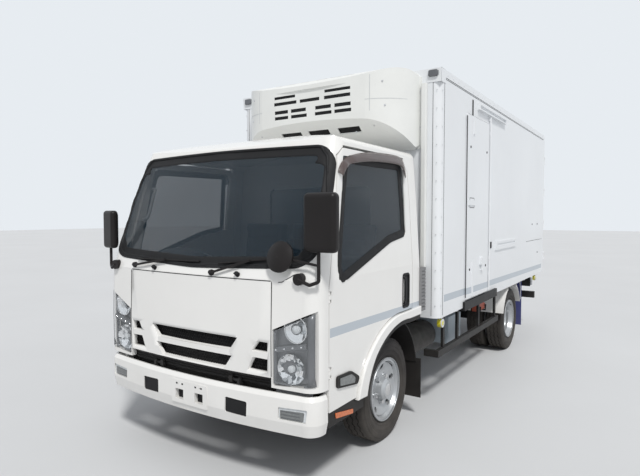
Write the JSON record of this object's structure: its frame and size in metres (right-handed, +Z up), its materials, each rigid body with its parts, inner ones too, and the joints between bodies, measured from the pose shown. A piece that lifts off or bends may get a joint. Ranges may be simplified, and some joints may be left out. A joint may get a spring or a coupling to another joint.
{
  "type": "refrigerated truck",
  "caption": "Light refrigerated delivery truck: tilting cab with hinged doors, steered front wheels, twin rear wheels and an insulated box with a cooling unit.",
  "frame": {"origin": "on the ground, below the middle of the whole truck", "axes": "+X to the truck's left, +Y to its rear, +Z up"},
  "size_m": [2.245, 6.488, 2.985],
  "materials": {
    "cab_white": "gloss",
    "box_white": "satin",
    "unit_white": "gloss",
    "frame_black": "satin",
    "black_plastic": "matte",
    "engine_grey": "rough",
    "battery_cover": "matte",
    "intake_grey": "matte",
    "tank_grey": "satin",
    "exhaust_metal": "dull",
    "flap_blue": "matte",
    "lamp_clear": "clear",
    "cab_glass": "clear tinted",
    "dash_grey": "matte",
    "seat_fabric": "woven",
    "zinc_steel": "satin",
    "wheel_silver": "satin",
    "tyre_black": "matte"
  },
  "bodies": {
    "chassis": {"chassis_frame": "frame_black", "front_axle": "frame_black", "rear_axle": "frame_black", "leaf_springs": "frame_black", "engine_block": "engine_grey", "fuel_tank": "tank_grey", "battery_box": "battery_cover", "exhaust_unit": "exhaust_metal", "side_guards": "frame_black", "mudguards": "black_plastic", "rear_fenders": "cab_white", "mud_flaps": "flap_blue", "rear_underrun": "frame_black", "body_lamps": "lamp_clear", "front_bumper": "cab_white", "box_floor": "box_white", "box_front_wall": "box_white", "box_left_wall": "box_white", "box_right_wall": "box_white", "box_roof": "box_white", "rear_frame": "box_white", "side_door": "box_white", "side_door_gear": "zinc_steel", "fridge_unit": "unit_white"},
    "cab": {"cab_roof": "cab_white", "cab_back": "cab_white", "cab_front": "cab_white", "cab_floor": "black_plastic", "cab_glass": "cab_glass", "front_panel": "cab_white", "headlamps": "lamp_clear", "dashboard": "dash_grey", "steering_wheel": "dash_grey", "seats": "seat_fabric", "mirrors": "black_plastic", "air_intake": "intake_grey", "arch_flares": "cab_white"},
    "door_left": {"door_left": "cab_white", "door_left_glass": "cab_glass"},
    "door_right": {"door_right": "cab_white", "door_right_glass": "cab_glass"},
    "rear_door_left": {"rear_door_left": "box_white"},
    "rear_door_right": {"rear_door_right": "box_white"},
    "knuckle_left": {"knuckle_left": "frame_black"},
    "knuckle_right": {"knuckle_right": "frame_black"},
    "tie_rod": {"tie_rod": "frame_black"},
    "front_wheel_left": {"front_wheel_left": "wheel_silver", "front_tyre_left": "tyre_black"},
    "front_wheel_right": {"front_wheel_right": "wheel_silver", "front_tyre_right": "tyre_black"},
    "rear_wheel_left": {"rear_wheel_left": "wheel_silver", "rear_tyre_left": "tyre_black"},
    "rear_wheel_right": {"rear_wheel_right": "wheel_silver", "rear_tyre_right": "tyre_black"}
  },
  "joints": [
    {"name": "cab_tilt", "type": "hinge", "parent": "chassis", "child": "cab", "pos_m": [0, -3.172, 0.655], "axis": [1, 0, 0], "range_deg": [0, 45]},
    {"name": "door_left_swing", "type": "hinge", "parent": "cab", "child": "door_left", "pos_m": [0.9955, -3.0165, 1], "axis": [0, 0, -1], "range_deg": [0, 70]},
    {"name": "door_right_swing", "type": "hinge", "parent": "cab", "child": "door_right", "pos_m": [-0.9955, -3.0165, 1], "axis": [0, 0, 1], "range_deg": [0, 70]},
    {"name": "rear_door_left_swing", "type": "hinge", "parent": "chassis", "child": "rear_door_left", "pos_m": [1.092, 3.227, 1], "axis": [0, 0, -1], "range_deg": [0, 270]},
    {"name": "rear_door_right_swing", "type": "hinge", "parent": "chassis", "child": "rear_door_right", "pos_m": [-1.092, 3.227, 1], "axis": [0, 0, 1], "range_deg": [0, 270]},
    {"name": "steer_left", "type": "hinge", "parent": "chassis", "child": "knuckle_left", "pos_m": [0.7, -2.094, 0.392], "axis": [0, 0, 1], "range_deg": [-38, 38]},
    {"name": "steer_right", "type": "hinge", "parent": "chassis", "child": "knuckle_right", "pos_m": [-0.7, -2.094, 0.392], "axis": [0, 0, 1], "range_deg": [-38, 38]},
    {"name": "tie_rod_turn", "type": "hinge", "parent": "knuckle_left", "child": "tie_rod", "pos_m": [0.7, -1.914, 0.294], "axis": [0, 0, 1], "range_deg": [-38, 38]},
    {"name": "front_left_spin", "type": "hinge", "parent": "knuckle_left", "child": "front_wheel_left", "pos_m": [0.84, -2.094, 0.392], "axis": [1, 0, 0], "continuous": true},
    {"name": "rear_left_spin", "type": "hinge", "parent": "chassis", "child": "rear_wheel_left", "pos_m": [0.825, 1.301, 0.392], "axis": [1, 0, 0], "continuous": true},
    {"name": "front_right_spin", "type": "hinge", "parent": "knuckle_right", "child": "front_wheel_right", "pos_m": [-0.84, -2.094, 0.392], "axis": [1, 0, 0], "continuous": true},
    {"name": "rear_right_spin", "type": "hinge", "parent": "chassis", "child": "rear_wheel_right", "pos_m": [-0.825, 1.301, 0.392], "axis": [1, 0, 0], "continuous": true}
  ],
  "couplings": [
    {"joint": "steer_right", "follows": "steer_left", "ratio": 1},
    {"joint": "tie_rod_turn", "follows": "steer_left", "ratio": -1}
  ]
}
